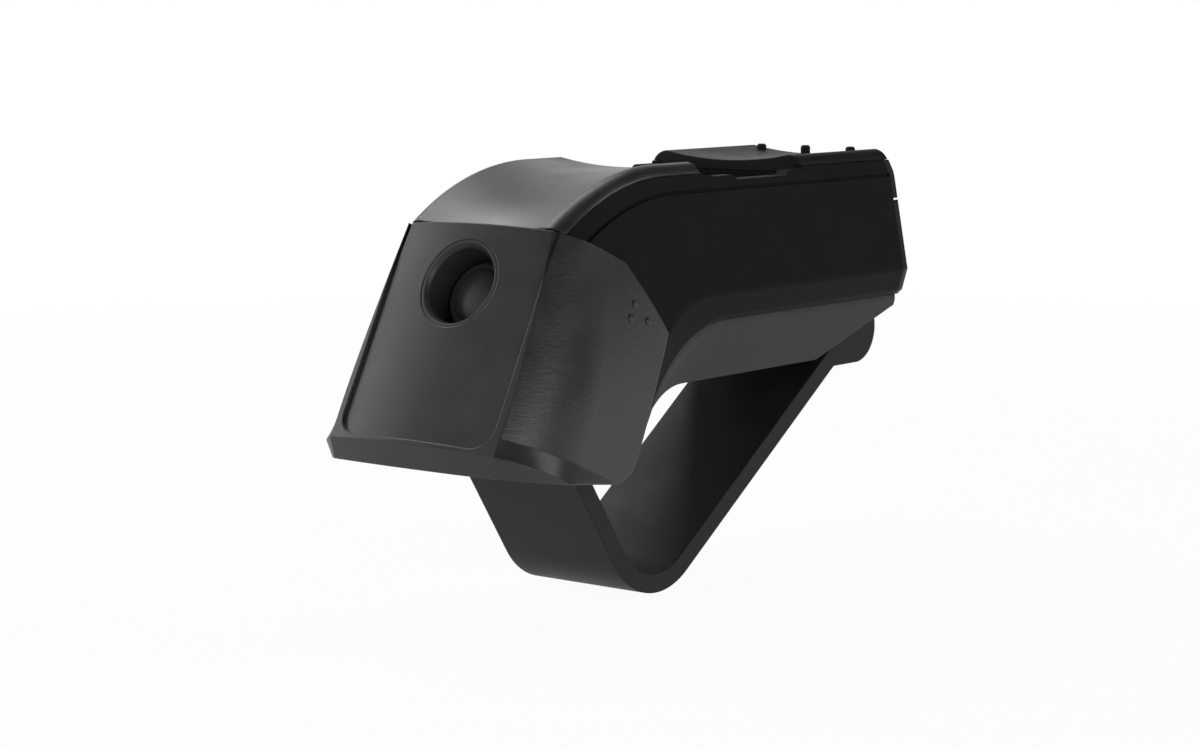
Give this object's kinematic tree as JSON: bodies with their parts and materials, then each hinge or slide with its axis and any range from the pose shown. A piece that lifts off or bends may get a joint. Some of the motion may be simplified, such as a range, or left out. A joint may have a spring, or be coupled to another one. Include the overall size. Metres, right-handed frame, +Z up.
{
  "type": "roof bar foot",
  "caption": "Clamping foot for a car roof bar: moulded housing with a fold-down lockable front cover, a rubber rail pad and a strap that a screw draws up under the roof rail.",
  "frame": {"origin": "centre of the rail pad's flat underside, in the foot's middle plane", "axes": "+X inboard along the bar, the front cover faces -X, +Z up, away from the roof rail"},
  "size_m": [0.1788, 0.0718, 0.111],
  "materials": {
    "housing_plastic": "moulded, fine texture",
    "cap_plastic": "moulded, fine texture",
    "seat_plastic": "moulded, smooth",
    "peg_rubber": "moulded, dull",
    "end_cap_plastic": "moulded, fine texture",
    "pad_rubber": "moulded, dull",
    "strap_rubber": "moulded, satin",
    "cover_plastic": "moulded, fine texture",
    "sleeve_plastic": "moulded, smooth",
    "plug_plastic": "moulded, smooth",
    "keeper_plastic": "moulded",
    "plain_steel": "drawn",
    "zinc_steel": "zinc plated",
    "washer_brass": "turned",
    "black_plate": "black coated",
    "black_screw": "black coated"
  },
  "bodies": {
    "base": {"body_shell": "housing_plastic", "top_cap": "cap_plastic", "bar_saddle": "seat_plastic", "grip_pegs": "peg_rubber", "rail_pad": "pad_rubber", "rear_end_cap": "end_cap_plastic", "bar_plate": "black_plate", "bar_plate_screws": "black_screw", "strap_pin": "plain_steel", "pin_keepers": "keeper_plastic", "cover_hinge_pins": "plain_steel", "bearing_plate": "zinc_steel", "thrust_washer": "washer_brass", "cap_screws": "zinc_steel"},
    "cover": {"front_cover": "cover_plastic", "lock_sleeve": "sleeve_plastic"},
    "lock": {"lock_plug": "plug_plastic", "lock_cam": "zinc_steel", "cam_screw": "zinc_steel"},
    "bolt": {"tension_bolt": "plain_steel", "bolt_retaining_ring": "plain_steel"},
    "nut": {"trunnion_nut": "zinc_steel"},
    "strap": {"rail_strap": "strap_rubber"}
  },
  "joints": [
    {"name": "cover_hinge", "type": "hinge", "parent": "base", "child": "cover", "pos_m": [-0.079, 0, -0.01], "axis": [0, -1, 0], "range_deg": [0, 80]},
    {"name": "lock_turn", "type": "hinge", "parent": "cover", "child": "lock", "pos_m": [-0.0898, 0, 0.029], "axis": [0.8934, 0, -0.4493], "range_deg": [0, 90]},
    {"name": "bolt_turn", "type": "hinge", "parent": "base", "child": "bolt", "pos_m": [-0.06909, 0, -0.01273], "axis": [0.3746, 0, -0.9272], "range_deg": [-1100, 1100]},
    {"name": "nut_slide", "type": "slide", "parent": "base", "child": "nut", "axis": [-0.3746, 0, 0.9272], "range_m": [-0.003, 0.003]},
    {"name": "strap_swing", "type": "hinge", "parent": "base", "child": "strap", "pos_m": [0.052, 0, 0.02], "axis": [0, 1, 0], "range_deg": [-1.43, 1.43]}
  ],
  "couplings": [
    {"joint": "bolt_turn", "follows": "nut_slide", "rad_per_m": 6283.2},
    {"joint": "strap_swing", "follows": "nut_slide", "rad_per_m": 8.03}
  ]
}
